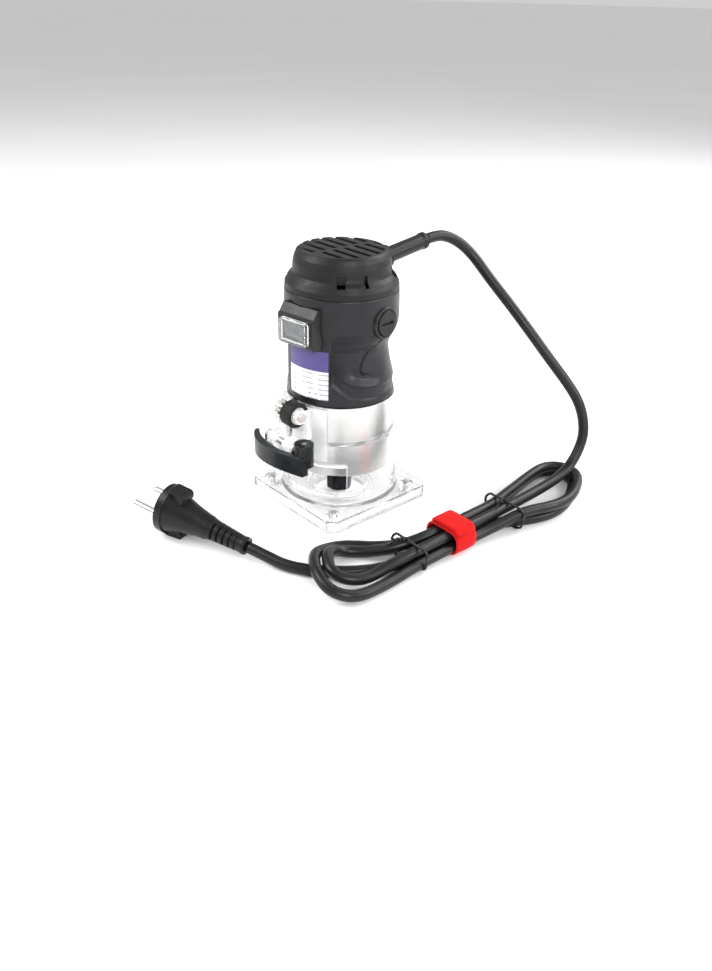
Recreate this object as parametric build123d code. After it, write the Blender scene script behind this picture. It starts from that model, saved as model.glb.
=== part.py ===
"""Trim router with a clear base, a clamp lever, a depth wheel and its tied mains cord.

Millimetres. +Z is up, the origin is the centre of the bit opening on the sole's face.
-Y is the side of the switch, the depth wheel and the clamp lever; the cord leaves at +Y.
"""
from build123d import *
import math
import os

# ---- driving dimensions ------------------------------------------------------------------
BASE_SIDE = 86.0            # square base
CORNER_CUT = 5.0            # straight cut of each base corner
SOLE_THICK = 2.6            # clear sole plate under the moulding
BASE_TOP = 9.2              # top face of the base flange
SOLE_HOLE_R = 17.0          # opening that the bit passes through

COLLAR_R = 34.5             # metal motor collar
COLLAR_BOTTOM = 29.0
COLLAR_TOP = 75.6
COLLAR_WALL = 2.6
SLEEVE_GAP = 0.08           # running clearance of the collar in the clear sleeve
SLEEVE_WALL = 2.6
SLEEVE_TOP = 51.5
TOWER_TOP = 74.0            # part of the sleeve that carries the depth wheel
WINDOW_BOTTOM = 16.0        # chip window in the sleeve
WINDOW_TOP = 36.5
WINDOW_HALF_ANGLE = 57.0

HOUSING_BOTTOM = 75.7
HOUSING_TOP = 142.5
HOUSING_WALL = 2.4
COVER_TOP = 165.0
COVER_PLATE = 2.6           # thickness of the cover's slotted top
SLOT_STEP = 8.2             # spacing of the cover's cooling slots
SLOT_HALF = 1.7
PANEL_R = 34.15             # front panel that carries the switch and the label
HOUSING_TURN = 7.0          # the housing sits turned by this many degrees on the collar

WHEEL_Y = -42.9             # shaft of the depth wheel
WHEEL_Z = 71.4
GEAR_MODULE = 1.0
PINION_TEETH = 12
PRESSURE_ANGLE = 25.0
BACKLASH = 0.35
RACK_X = (-5.2, -0.6)
PINION_X = (-5.0, -0.8)
TYRE_X = (2.2, 11.0)
TYRE_R = 8.0

BOLT_Y = -44.6              # clamp bolt, along X
BOLT_Z = 49.3
BOLT_R = 2.5
LUG_R = 5.4
WASHER_R = 4.2
LEVER_PIN_X = 18.6
CAM_R = 6.0
LEVER_Z = (37.0, 49.0)

BRUSH_Z = 127.0
SPINDLE_R = 5.0
NUT_BOTTOM = 4.0
NUT_R = 8.3

SWITCH_Z = (114.0, 132.0)
SWITCH_FRONT = -40.2
ROCKER_TILT = 7.0
ROCKER_Y = -37.6
ROCKER_Z = 122.8
ROCKER_HALF = 9.0
CHEEK_X = 9.85

CORD_D = 7.0
GUARD_START = Vector(0, 31.5, 153.6)
GUARD_END = Vector(0, 69.0, 159.4)

# Points of the cord's free runs, each bend a tangent arc.
LEAD_POINTS = [
    (0, 69.0, 159.4), (0, 79.9, 161.1), (2.7, 91.0, 159.2), (7.6, 100.1, 153.8), (14.0, 105.6, 146.0),
    (25.5, 108.4, 133.2), (40.6, 112.6, 118.4), (55.4, 118.2, 102.4), (69.7, 124.0, 86.1), (80.8, 130.9, 71.7),
    (88.8, 134.9, 60.6), (94.1, 136.2, 49.3), (97.9, 133.4, 38.2), (97.7, 129.0, 26.1), (97.7, 129.0, 14.62),
]
PLUG_AXIS = Vector(0.93, 0.33, -0.15).normalized()      # from the plug's face towards its cord
PLUG_END = Vector(28.6, -95.9, 8.0)
PLUG_LENGTH = 60.0
PIN_SPACING = 19.0
PIN_R = 2.4
PIN_DEPTH = 6.8             # how far each pin is let into the plug
PLUG_FACE = PLUG_END - PLUG_AXIS * PLUG_LENGTH
TAIL_POINTS = [(66, -81.5, 3.6), (54, -87.2, 4.0), tuple(PLUG_END + PLUG_AXIS * 13), tuple(PLUG_END)]

# Plan of the tied hank: its outer edge and the open middles of its two loops.
HANK_EDGE = [
    (85, 10), (82, -10), (72, -26), (56, -38), (50, -53), (57, -71), (73, -85), (90, -91), (104, -86), (109, -70),
    (108, -45), (108, -10), (109, 20), (114, 46), (122, 64), (125, 84), (121, 102), (109, 122), (92, 138),
    (80, 137), (75, 122), (79, 100), (85, 76), (88, 50),
]
LEFT_EYE = [(71, -64), (69, -53), (77, -41), (84, -35), (89, -48), (92, -62), (90, -72), (81, -75)]
RIGHT_EYE = [(91, 84), (87, 99), (86, 112), (91, 120), (101, 115), (109, 103), (108, 92), (99, 84)]
HANK_HIGH = 14.6
STRAP_Y = (-2.0, 19.0)
TIE_Y = (-25.0, 55.0)

# ---- small shared shapes -----------------------------------------------------------------
def save(name, *pieces):
    """Writes one node; pieces that are separate stay separate solids in it."""
    solids = [solid for piece in pieces for solid in piece.solids()]
    node = solids[0] if len(solids) == 1 else Compound(children=solids)
    export_step(node, f"parts/{name}.step")


def upright(radius, low, high, x=0.0, y=0.0):
    """Cylinder along Z between two heights."""
    return Pos(x, y, (low + high) / 2) * Cylinder(radius, high - low)


def ring(outer, inner, low, high, x=0.0, y=0.0):
    """Upright tube."""
    return upright(outer, low, high, x, y) - upright(inner, low - 1, high + 1, x, y)


def bar_x(radius, left, right, y, z):
    """Cylinder along X."""
    return Pos((left + right) / 2, y, z) * Rot(0, 90, 0) * Cylinder(radius, right - left)


def block(x, y, z):
    """Box from three (low, high) pairs."""
    middle = [(low + high) / 2 for low, high in (x, y, z)]
    return Pos(*middle) * Box(x[1] - x[0], y[1] - y[0], z[1] - z[0])


def turned(corners):
    """Solid of revolution about Z from (radius, height) corners."""
    outline = make_face(Polyline(*corners, close=True))
    return revolve(Plane.XZ * outline, Axis.Z)


def hexagon_z(across_corners_r, low, high):
    return Pos(0, 0, low) * extrude(RegularPolygon(across_corners_r, 6), high - low)


def sector(half_angle, low, high, reach=60.0):
    """Wedge about -Y, used to keep or to cut a stretch of a ring."""
    step = math.radians(half_angle / 3)
    corners = [(0, 0)]
    for k in range(-3, 4):
        corners.append((reach * math.sin(k * step), -reach * math.cos(k * step)))
    return Pos(0, 0, low) * extrude(make_face(Polyline(*corners, close=True)), high - low)


def frame_at(point, direction):
    """Plane whose Z runs along a direction."""
    return Plane(origin=point, z_dir=direction)


# ---- base --------------------------------------------------------------------------------
def base_outline(side, cut):
    half = side / 2
    corners = []
    for sx, sy in ((1, -1), (1, 1), (-1, 1), (-1, -1)):
        pair = [(sx * (half - cut), sy * half), (sx * half, sy * (half - cut))]
        corners += pair if sx * sy < 0 else pair[::-1]
    return make_face(Polyline(*corners, close=True))


SCREW_SPOTS = [(sx * 32.5, sy * 32.5) for sx in (-1, 1) for sy in (-1, 1)]


def sub_base_plate():
    plate = extrude(base_outline(BASE_SIDE, CORNER_CUT), SOLE_THICK)
    plate = chamfer(plate.edges().group_by(Axis.Z)[0], 0.5)
    plate -= upright(SOLE_HOLE_R, -1, SOLE_THICK + 1)
    for x, y in SCREW_SPOTS:
        plate -= upright(2.2, -1, SOLE_THICK + 1, x, y)
        plate -= upright(3.9, -1, 1.5, x, y)
    return plate


def sub_base_screws():
    screws = []
    for x, y in SCREW_SPOTS:
        screw = upright(3.6, 0.3, 1.5, x, y) + upright(1.95, 1.5, 9.4, x, y)
        screw -= block((x - 2.4, x + 2.4), (y - 0.4, y + 0.4), (0, 0.9))
        screw -= block((x - 0.4, x + 0.4), (y - 2.4, y + 2.4), (0, 0.9))
        screws.append(screw)
    return screws


def clamp_lugs():
    """Two lugs on the sleeve's split, with the bolt's hole through both."""
    lugs = None
    for left, right in ((-12.5, -6.4), (2.4, 10.6)):
        lug = block((left, right), (BOLT_Y, -36.0), (BOLT_Z - LUG_R, BOLT_Z + LUG_R))
        lug += bar_x(LUG_R, left, right, BOLT_Y, BOLT_Z)
        lug += block((left, right), (-41.0, -36.0), (39.0, 60.0))
        lugs = lug if lugs is None else lugs + lug
    return lugs


def wheel_ears():
    """Ears on the tower that carry the depth wheel's shaft."""
    left = bar_x(7.6, -9.4, -7.0, WHEEL_Y, WHEEL_Z) + block((-9.4, -7.0), (WHEEL_Y, -36), (60, 76))
    right = bar_x(4.6, 11.5, 13.7, WHEEL_Y, WHEEL_Z)
    right += block((11.5, 13.7), (WHEEL_Y, -34.5), (WHEEL_Z - 4.6, WHEEL_Z + 2.6))
    right += block((11.5, 13.7), (-38.5, -34.5), (55, WHEEL_Z))
    return left + right


def base_moulding():
    flange = Pos(0, 0, SOLE_THICK + 0.1) * extrude(base_outline(BASE_SIDE, CORNER_CUT), BASE_TOP - SOLE_THICK - 0.1)
    flange = fillet(flange.edges().group_by(Axis.Z)[-1], 1.0)
    pocket = extrude(base_outline(BASE_SIDE - 5.0, CORNER_CUT - 1.0), 4.2 - 0.1)
    flange -= Pos(0, 0, SOLE_THICK) * pocket
    flange += ring(22.5, 20.5, SOLE_THICK + 0.1, 7.5)
    for x, y in SCREW_SPOTS:
        flange += upright(4.4, SOLE_THICK + 0.1, 10.4, x, y)
    bore = COLLAR_R + SLEEVE_GAP
    outer = bore + SLEEVE_WALL
    sleeve = turned([(bore, BASE_TOP - 1), (outer + 2.2, BASE_TOP - 1), (outer + 0.9, BASE_TOP + 2.5),
                     (outer + 0.4, 25), (outer, SLEEVE_TOP), (bore, SLEEVE_TOP)])
    tower = ring(outer, bore, SLEEVE_TOP - 1, TOWER_TOP) & sector(36.0, SLEEVE_TOP - 1, TOWER_TOP)
    window = sector(WINDOW_HALF_ANGLE, WINDOW_BOTTOM, WINDOW_TOP)
    moulding = flange + sleeve + tower
    moulding += (clamp_lugs() + wheel_ears()) - upright(bore + 0.6, 0, 120)
    moulding -= window
    moulding -= upright(19.0, -1, 12)
    moulding -= upright(bore, BASE_TOP, 120)
    moulding -= block((-6.0, 0.0), (-41.5, -30), (SLEEVE_TOP - 5.0, 80))      # way for the rack
    moulding -= bar_x(TYRE_R + 0.6, TYRE_X[0] - 0.6, TYRE_X[1] + 0.4, WHEEL_Y, WHEEL_Z)
    moulding -= block((-6.0, -1.6), (-50, -30), (38.0, 60))                   # the clamp's split
    moulding -= block((-6.0, -1.6), (-50, -30), (WINDOW_TOP - 1, 38.5))
    moulding -= bar_x(BOLT_R + 0.05, -20, 20, BOLT_Y, BOLT_Z)
    moulding -= bar_x(1.55, -20, 20, WHEEL_Y, WHEEL_Z)
    for x, y in SCREW_SPOTS:
        moulding -= upright(2.0, 0, 9.6, x, y)
    return moulding


def clamp_bolt():
    """Bolt whose eye holds the lever's pin; its tail carries the nut."""
    bolt = bar_x(BOLT_R, -17.6, LEVER_PIN_X - 3.0, BOLT_Y, BOLT_Z)
    eye = block((LEVER_PIN_X - 3.4, LEVER_PIN_X + 3.0), (BOLT_Y - 2.4, BOLT_Y + 2.4), (BOLT_Z - 1.6, BOLT_Z + 1.6))
    return bolt + eye - upright(1.5, 0, 99, LEVER_PIN_X, BOLT_Y)


def lever_pin():
    return upright(1.5, 41.6, 56.4, LEVER_PIN_X, BOLT_Y)


def clamp_nut():
    nut = Pos(-16.6, BOLT_Y, BOLT_Z) * Rot(0, 90, 0) * extrude(RegularPolygon(4.6, 6), 3.0)
    return nut - bar_x(BOLT_R, -20, 0, BOLT_Y, BOLT_Z)


def clamp_washers():
    inner = bar_x(BOLT_R + 0.1, -20, 20, BOLT_Y, BOLT_Z)
    return [bar_x(WASHER_R, -13.5, -12.55, BOLT_Y, BOLT_Z) - inner,
            bar_x(WASHER_R, 10.65, 11.8, BOLT_Y, BOLT_Z) - inner]


def cam_lever():
    """Round cam on the pin, with a bowed handle that lies across the front."""
    low, high = LEVER_Z
    outer = Spline((24.0, -50.4), (10.0, -54.4), (-6.0, -56.4), (-20.0, -53.8), (-29.4, -47.2))
    inner = Spline((-27.4, -44.9), (-19.0, -49.4), (-8.0, -51.6), (4.0, -51.8), (13.4, -48.6))
    tip = ThreePointArc(outer @ 1, (-29.6, -45.2), inner @ 0)
    root = Polyline(inner @ 1, (13.4, -46.0), (24.0, -46.0), outer @ 0)
    handle = extrude(Pos(0, 0, low) * make_face([outer, tip, inner, root]), high - low)
    handle -= Pos(-36, -50, 24.5) * Rot(90, 0, 0) * Cylinder(18.0, 30)
    lever = handle + upright(CAM_R, 41.6, 56.4, LEVER_PIN_X, BOLT_Y)
    reach = 4.1
    lever -= block((8.0, LEVER_PIN_X + reach), (BOLT_Y - reach, BOLT_Y + 12.0), (BOLT_Z - 2.8, BOLT_Z + 2.8))
    return lever - upright(1.55, 30, 70, LEVER_PIN_X, BOLT_Y)


def wheel_screw():
    """Shaft of the depth wheel: a shoulder screw through both ears."""
    return bar_x(1.5, -10.6, 13.8, WHEEL_Y, WHEEL_Z) + bar_x(2.7, 13.8, 15.2, WHEEL_Y, WHEEL_Z)


# ---- depth wheel -------------------------------------------------------------------------
def involute(angle):
    return math.tan(angle) - angle


def tooth_outline(turn):
    """One side-to-side tooth of the pinion as points in its own plane."""
    pitch_r = GEAR_MODULE * PINION_TEETH / 2
    base_r = pitch_r * math.cos(math.radians(PRESSURE_ANGLE))
    tip_r = pitch_r + 0.75 * GEAR_MODULE
    root_r = pitch_r - 1.05 * GEAR_MODULE
    half = math.pi / (2 * PINION_TEETH) - BACKLASH / (4 * pitch_r)
    at_pitch = involute(math.radians(PRESSURE_ANGLE))
    flank = [(root_r, half + at_pitch)]
    for k in range(4):
        radius = base_r + (tip_r - base_r) * k / 3
        flank.append((radius, half + at_pitch - involute(math.acos(base_r / radius))))
    points = [(r, turn - a) for r, a in flank] + [(r, turn + a) for r, a in reversed(flank)]
    return [(r * math.cos(a), r * math.sin(a)) for r, a in points]


def depth_pinion():
    """Pinion, hub and boss of the wheel in one piece, free on the shoulder screw."""
    outline = []
    for tooth in range(PINION_TEETH):
        outline += tooth_outline(2 * math.pi * tooth / PINION_TEETH)
    gear = extrude(make_face(Polyline(*outline, close=True)), PINION_X[1] - PINION_X[0])
    gear = Pos(PINION_X[0], WHEEL_Y, WHEEL_Z) * Rot(0, 90, 0) * gear
    hub = bar_x(3.6, -6.9, TYRE_X[0], WHEEL_Y, WHEEL_Z) + bar_x(5.4, TYRE_X[0] - 0.8, TYRE_X[1], WHEEL_Y, WHEEL_Z)
    return gear + hub - bar_x(1.56, -20, 20, WHEEL_Y, WHEEL_Z)


def depth_wheel_tyre():
    tyre = bar_x(TYRE_R, TYRE_X[0], TYRE_X[1], WHEEL_Y, WHEEL_Z)
    tyre = fillet(tyre.edges(), 0.8)
    tyre -= bar_x(5.4, 0, 20, WHEEL_Y, WHEEL_Z)
    for k in range(24):
        angle = 2 * math.pi * k / 24
        y, z = WHEEL_Y + TYRE_R * math.cos(angle), WHEEL_Z + TYRE_R * math.sin(angle)
        tyre -= bar_x(0.45, 0, 20, y, z)
    return tyre


# ---- collar, rack and spindle group ------------------------------------------------------
def motor_collar():
    inner = COLLAR_R - COLLAR_WALL
    collar = turned([(12.0, COLLAR_BOTTOM), (COLLAR_R - 0.8, COLLAR_BOTTOM), (COLLAR_R, COLLAR_BOTTOM + 0.8),
                     (COLLAR_R, COLLAR_TOP), (inner, COLLAR_TOP), (inner, 33.0), (16.4, 33.0), (16.4, 43.0),
                     (13.02, 43.0), (13.02, 34.0), (12.0, 34.0)])
    for k in range(6):
        angle = math.radians(60 * k + 30)
        collar -= upright(3.2, 20, 34.5, 25 * math.cos(angle), 25 * math.sin(angle))
    collar -= block((RACK_X[0] - 0.05, RACK_X[1] + 0.05), (-40, -32.7), (50, COLLAR_TOP + 1))
    return collar


def gear_rack():
    """Rack strip let into the collar; its teeth face the pinion."""
    pitch_y = WHEEL_Y + GEAR_MODULE * PINION_TEETH / 2
    tip = pitch_y - 0.7 * GEAR_MODULE
    root = pitch_y + 0.95 * GEAR_MODULE
    low, high = 51.5, COLLAR_TOP - 0.1
    strip = block(RACK_X, (root, -32.75), (low, high))
    slope = math.tan(math.radians(PRESSURE_ANGLE))
    spacing = math.pi * GEAR_MODULE
    half = spacing / 4 - BACKLASH / 4
    # a gap of the rack faces the pinion's tooth at rest, at the height of its shaft
    for k in range(-7, 3):
        z = WHEEL_Z + spacing * (k + 0.5)
        if z - half - 1.2 < low or z + half + 1.2 > high:
            continue
        wide = half + slope * (root - pitch_y)
        slim = half - slope * (pitch_y - tip)
        outline = make_face(Polyline((root + 0.05, z - wide), (root + 0.05, z + wide), (tip, z + slim),
                                     (tip, z - slim), close=True))
        tooth = extrude(Plane.YZ * outline, RACK_X[1] - RACK_X[0])
        strip += Pos(RACK_X[0], 0, 0) * tooth
    return strip


def bearing(outer, bore, low, high):
    """Shielded ball bearing as one ring with its two grooves."""
    middle = (outer + bore) / 2
    race = ring(outer, bore, low, high)
    groove = 0.14 * (outer - bore)
    race -= ring(middle + groove, middle - groove, low - 1, low + 0.5)
    race -= ring(middle + groove, middle - groove, high - 0.5, high + 1)
    return race


def bearing_retainer():
    plate = ring(16.3, 11.0, 43.1, 44.6)
    for k in range(3):
        angle = math.radians(120 * k)
        plate -= upright(0.8, 42, 46, 14.7 * math.cos(angle), 14.7 * math.sin(angle))
    return plate


def armature_shaft():
    return turned([(0, 12.0), (3.9, 12.0), (3.9, 27.6), (SPINDLE_R, 29.0), (SPINDLE_R, 139.0), (4.0, 140.0),
                   (4.0, 149.5), (0, 149.5)])


def collet():
    body = turned([(3.02, 4.6), (5.4, 4.6), (6.0, 8.0), (6.0, 11.8), (3.02, 11.8)])
    for k in range(4):
        cut = block((2.0, 8.0), (-0.3, 0.3), (4.0, 10.5))
        body -= Rot(0, 0, 90 * k + 45) * cut
    return body


def collet_nut():
    nut = hexagon_z(NUT_R * 1.1, NUT_BOTTOM, 24.0) & upright(NUT_R, NUT_BOTTOM, 24.0)
    nut += turned([(0.1, 19.0), (NUT_R, 19.0), (NUT_R, 26.2), (6.5, 27.4), (0.1, 27.4)])
    return nut - upright(6.05, 0, 12.5) - upright(3.95, 0, 40) - turned([(0, 3.9), (6.6, 3.9), (6.1, 5.0), (0, 5.0)])


def cooling_fan():
    hub = ring(9.0, SPINDLE_R + 0.01, 58.0, 70.0) + ring(29.0, 8.0, 58.0, 59.6)
    blades = None
    for k in range(12):
        blade = Rot(0, 0, 30 * k) * block((8.5, 28.4), (-0.7, 0.7), (59.0, 69.0))
        blades = blade if blades is None else blades + blade
    return hub + blades


def armature_core():
    core = ring(16.4, SPINDLE_R + 0.01, 82.0, 112.0)
    for k in range(12):
        core -= Rot(0, 0, 30 * k) * block((13.2, 18.0), (-0.9, 0.9), (81, 113))
    return core


def armature_windings():
    ends = None
    for low, high in ((75.0, 81.9), (112.1, 119.0)):
        end = ring(14.6, SPINDLE_R + 0.6, low, high)
        end = fillet(end.edges().sort_by(Axis.Z)[0], 1.5) if low < 80 else end
        ends = [end] if ends is None else ends + [end]
    return ends


def commutator():
    body = ring(11.0, SPINDLE_R + 0.01, 120.5, 134.0) + ring(12.4, 8.0, 119.4, 121.6)
    for k in range(24):
        body -= Rot(0, 0, 15 * k) * block((9.6, 13.5), (-0.25, 0.25), (121.5, 135))
    return body


# ---- motor inside the housing ------------------------------------------------------------
def stator_core():
    core = ring(26.2, 17.2, 82.0, 112.0)
    for side in (-1, 1):
        core -= block((side * 20 - 3.4, side * 20 + 3.4), (-13.5, -5.5), (81, 113))
        core -= block((side * 20 - 3.4, side * 20 + 3.4), (5.5, 13.5), (81, 113))
    return core


def field_coils():
    coils = []
    for side in (-1, 1):
        end_turns = ring(23.5, 18.0, 77.0, 81.8) + ring(23.5, 18.0, 112.2, 116.6)
        half = end_turns & block((-30, 30), (side * 15 - 14.6, side * 15 + 14.6), (70, 120))
        for x in (-1, 1):
            half += block((x * 20.3 - 2.1, x * 20.3 + 2.1), (side * 9.6 - 3.0, side * 9.6 + 3.0), (78, 116))
        coils.append(half)
    return coils


def brush_holders():
    holders = []
    for side in (-1, 1):
        x = (13.2, 33.0) if side > 0 else (-33.0, -13.2)
        holder = block(x, (-4.6, 4.6), (BRUSH_Z - 5.6, BRUSH_Z + 5.6))
        holder -= block((x[0] - 1, x[1] + 1), (-3.3, 3.3), (BRUSH_Z - 4.3, BRUSH_Z + 4.3))
        holders.append(holder)
    return holders


def carbon_brushes():
    return [block((11.05, 22) if side > 0 else (-22, -11.05), (-3.2, 3.2), (BRUSH_Z - 4.2, BRUSH_Z + 4.2))
            for side in (-1, 1)]


def brush_springs():
    springs = []
    for side in (-1, 1):
        coil = Helix(pitch=1.9, height=9.5, radius=2.3)
        wire = sweep(Plane(coil @ 0, z_dir=coil % 0) * Circle(0.35), path=coil, is_frenet=True)
        springs.append(Pos(side * 22.4, 0, BRUSH_Z) * Rot(0, side * 90, 0) * wire)
    return springs


def brush_caps():
    caps = []
    for side in (-1, 1):
        cap = bar_x(7.6, 33.2, 36.9, 0, BRUSH_Z)
        cap = fillet(cap.edges().sort_by(Axis.X)[-1], 0.6)
        cap -= block((35.7, 38), (-5.2, 5.2), (BRUSH_Z - 0.9, BRUSH_Z + 0.9))
        caps.append(cap if side > 0 else Rot(0, 0, 180) * cap)
    return caps


# ---- housing and cover -------------------------------------------------------------------
WAIST = [(34.1, HOUSING_BOTTOM), (33.9, 82.0), (31.9, 92.0), (29.6, 106.0), (32.0, 115.5), (35.3, 124.5),
         (35.4, 131.0), (35.0, HOUSING_TOP)]


def lathe_between(outer, inner, low, high):
    """Revolved wall between two smooth lines of (radius, height) points."""
    out_line = Spline(*outer)
    in_line = Spline(*inner)
    outline = make_face([out_line, in_line, Line(outer[0], inner[0]), Line(outer[-1], inner[-1])])
    return revolve(Plane.XZ * outline, Axis.Z)


COVER_SPOTS = [(sx * 24.8, sy * 17.4) for sx in (-1, 1) for sy in (-1, 1)]


def screw_bosses(low, high):
    return [ring(3.4, 1.55, low, high, x, y) for x, y in COVER_SPOTS]


def front_panel_body():
    """Flatter front of the housing that carries the switch and the label."""
    outer = ring(PANEL_R, 27.5, HOUSING_BOTTOM + 2.0, 134.0)
    return outer & sector(32.0, HOUSING_BOTTOM + 2.0, 134.0)


def motor_housing():
    inner = [(radius - HOUSING_WALL, height) for radius, height in WAIST]
    housing = lathe_between(WAIST, inner, HOUSING_BOTTOM, HOUSING_TOP)
    housing += front_panel_body()
    for side in (-1, 1):
        boss = bar_x(9.6, 31.0, 36.3, 0, BRUSH_Z)
        housing += boss if side > 0 else Rot(0, 0, 180) * boss
    housing -= upright(26.6, 70, 150)
    housing -= turned([(0, 110), (26.6, 110), (31.4, 124), (31.6, 143), (0, 143)])
    housing -= bar_x(7.7, -50, 50, 0, BRUSH_Z)
    housing -= block((-11.3, 11.3), (-50, -25), (SWITCH_Z[0] + 2.2, SWITCH_Z[1] - 2.6))
    housing -= turned([(0, 70), (31.2, 70), (31.2, 80), (26.6, 88), (0, 88)])
    return housing


def top_cover():
    under = COVER_TOP - COVER_PLATE
    low = HOUSING_TOP + 0.15
    shell = turned([(34.9, low), (34.6, 146.0), (32.6, 149.6), (30.5, 151.6), (30.0, 153.5), (29.6, 158.0),
                    (28.8, 161.4), (27.6, 163.8), (26.2, COVER_TOP), (0, COVER_TOP), (0, under), (25.2, under),
                    (27.3, 158.5), (27.4, 151.0), (32.2, 146.5), (32.3, low)])
    for k in range(-3, 3):
        y = SLOT_STEP * (k + 0.5)
        left = block((-29.0, -1.6), (y - SLOT_HALF, y + SLOT_HALF), (under - 2.4, COVER_TOP + 1))
        shell -= left - upright(11.0, under - 3, under + 0.1)
        y = SLOT_STEP * (k + 1)
        right = block((1.6, 25.6), (y - SLOT_HALF, y + SLOT_HALF), (under, COVER_TOP + 1))
        shell -= right & upright(25.0, under, COVER_TOP + 1)
    shell += ring(14.0, 11.02, 141.0, under)
    for boss in screw_bosses(HOUSING_TOP + 0.15, 148.0):
        shell += boss
    for x, y in COVER_SPOTS:
        shell -= upright(1.55, HOUSING_TOP, 147.5, x, y)
    for angle, half in ((48.5, 2.6), (76, 1.3), (131.5, 2.6), (228.5, 2.6), (284, 1.3), (311.5, 2.6)):
        shell -= Rot(0, 0, angle - 90) * block((28.4, 34.5), (-half, half), (148.9, 155.4))
    guard_axis = frame_at(GUARD_START, GUARD_END - GUARD_START)
    shell += guard_axis * Pos(0, 0, 1.2) * Cylinder(7.0, 7.6) - turned(
        [(0, 140), (27.4, 140), (27.4, 157.5), (0, 157.5)])
    shell -= guard_axis * Cylinder(5.1, 40)
    return shell


def cover_screws():
    """Screws that pull the cover down on the housing, driven from inside before the motor goes in."""
    return [upright(1.5, 135.9, 147.0, x, y) + upright(2.2, 134.2, 136.0, x, y) for x, y in COVER_SPOTS]


def label_plate():
    plate = ring(PANEL_R + 0.3, PANEL_R + 0.02, 80.6, 111.4)
    wedge = Rot(0, 0, 5.0) * sector(25.0, 80.6, 111.4)
    return plate & wedge


# ---- switch ------------------------------------------------------------------------------
def switch_bezel():
    low, high = SWITCH_Z
    side_view = make_face(Polyline((SWITCH_FRONT, low + 0.8), (SWITCH_FRONT - 0.3, high - 0.6), (-39.0, high + 0.4),
                                   (-35.6, 137.2), (-29.0, 137.2), (-29.0, low - 1.0), (-38.6, low - 1.0), close=True))
    bezel = Pos(-14.0, 0, 0) * extrude(Plane.YZ * side_view, 28.0)
    bezel -= turned([(0, 100), (PANEL_R + 0.03, 100), (PANEL_R + 0.03, 117.5), (35.1, 121.5), (35.7, 124.5), (35.8, 131),
                     (35.6, 140), (0, 140)])
    bezel -= block((-9.9, 9.9), (-50, -30), (low + 2.9, high - 3.2))
    return bezel


def switch_boot():
    """Clear dust boot over the rocker."""
    low, high = SWITCH_Z
    outer = block((-11.4, 11.4), (SWITCH_FRONT - 3.5, SWITCH_FRONT - 0.35), (low + 1.5, high - 1.8))
    outer = fillet(outer.edges().filter_by(Axis.Y), 2.6)
    outer = fillet(outer.faces().sort_by(Axis.Y)[0].edges(), 1.3)
    inner = block((-9.9, 9.9), (SWITCH_FRONT - 2.6, SWITCH_FRONT + 1), (low + 2.9, high - 3.2))
    return outer - inner


def switch_rocker():
    high, deep = 5.4, 2.1
    tilt = math.radians(ROCKER_TILT)
    outline = make_face(Polyline((-deep, -high), (-deep - high * math.tan(tilt), 0), (-deep, high), (1.2, high),
                                 (1.2, -high), close=True))
    key = Pos(-ROCKER_HALF, 0, 0) * extrude(Plane.YZ * outline, 2 * ROCKER_HALF)
    key = Pos(0, ROCKER_Y, ROCKER_Z) * Rot(ROCKER_TILT, 0, 0) * key
    return key - bar_x(1.55, -12, 12, ROCKER_Y, ROCKER_Z)


def switch_body():
    """Frame behind the rocker, with a cheek at each end that holds its pin."""
    body = block((-CHEEK_X, CHEEK_X), (-35.2, -28.6), (117.2, 128.4))
    body -= block((-ROCKER_HALF - 0.3, ROCKER_HALF + 0.3), (-36, -33.4), (114.5, 129.5))
    for side in (-1, 1):
        x = sorted((side * (ROCKER_HALF + 0.3), side * CHEEK_X))
        body += block(x, (-39.0, -34.0), (ROCKER_Z - 3.0, ROCKER_Z + 3.0))
    return body + bar_x(1.5, -CHEEK_X, CHEEK_X, ROCKER_Y, ROCKER_Z)


# ---- cord --------------------------------------------------------------------------------
def rounded_route(points):
    """Straight runs joined by arcs as large as the runs allow; prints the radii."""
    route = [Vector(*p) for p in points]
    radii = []
    for before, here, after in zip(route, route[1:], route[2:]):
        turn = math.radians((here - before).get_angle(after - here))
        shorter = min((here - before).length, (after - here).length)
        radii.append(0.45 * shorter / math.tan(turn / 2))
    print("radii", [round(r, 1) for r in radii])
    return FilletPolyline(*route, radius=radii)


def cord_tube(points):
    path = rounded_route(points)
    tube = sweep(Plane(origin=path @ 0, z_dir=path % 0) * Circle(CORD_D / 2), path=path)
    print("tube volume", round(tube.volume), "section x length", round(math.pi * CORD_D ** 2 / 4 * path.length),
          "length", round(path.length, 1))
    return tube


def cord_guard():
    """Moulded guard, with a collar inside the cover and a lip at its free end."""
    axis = frame_at(GUARD_START, GUARD_END - GUARD_START)
    length = (GUARD_END - GUARD_START).length
    body = turned([(3.55, 0), (5.0, 0), (5.0, 6.0), (4.9, length - 4), (5.4, length - 3), (5.4, length - 0.6),
                   (4.8, length), (3.55, length)])
    inside = turned([(0, -1), (3.55, -1), (3.55, length - 0.2), (0, length - 0.2)])
    lip = turned([(0, length - 1.5), (4.0, length - 1.5), (4.0, length - 0.02), (0, length - 0.02)])
    return axis * (body - inside + lip)


def cord_clamp():
    """Saddle that grips the cord inside the cover."""
    saddle = block((-7.4, 7.4), (21.5, 25.6), (148.6, 156.0))
    return saddle - Pos(0, 23, 151.2) * Rot(90, 0, 0) * Cylinder(3.4, 20)


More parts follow.
